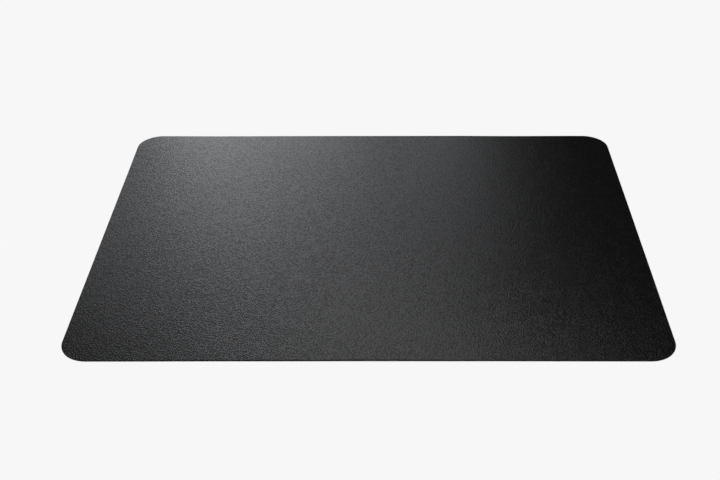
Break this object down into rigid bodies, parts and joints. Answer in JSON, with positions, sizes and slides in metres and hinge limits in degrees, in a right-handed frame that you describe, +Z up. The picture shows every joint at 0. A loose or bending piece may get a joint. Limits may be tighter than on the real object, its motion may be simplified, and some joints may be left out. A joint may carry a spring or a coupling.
{
  "type": "chair mat",
  "caption": "Flat rectangular floor protector for a castored office chair, with round corners, a grained black top and a non-slip underside.",
  "frame": {"origin": "centre of the underside, on the floor", "axes": "+X to the right along the long side, +Y towards the back edge, +Z up from the floor"},
  "size_m": [1.2, 0.9, 0.002],
  "materials": {
    "grained_plastic": "black polypropylene, satin, with a fine pebbled grain on top",
    "grip_rubber": "matt dark grey soft non-slip film"
  },
  "bodies": {
    "root": {"wear_sheet": "grained_plastic", "grip_backing": "grip_rubber"}
  },
  "joints": []
}
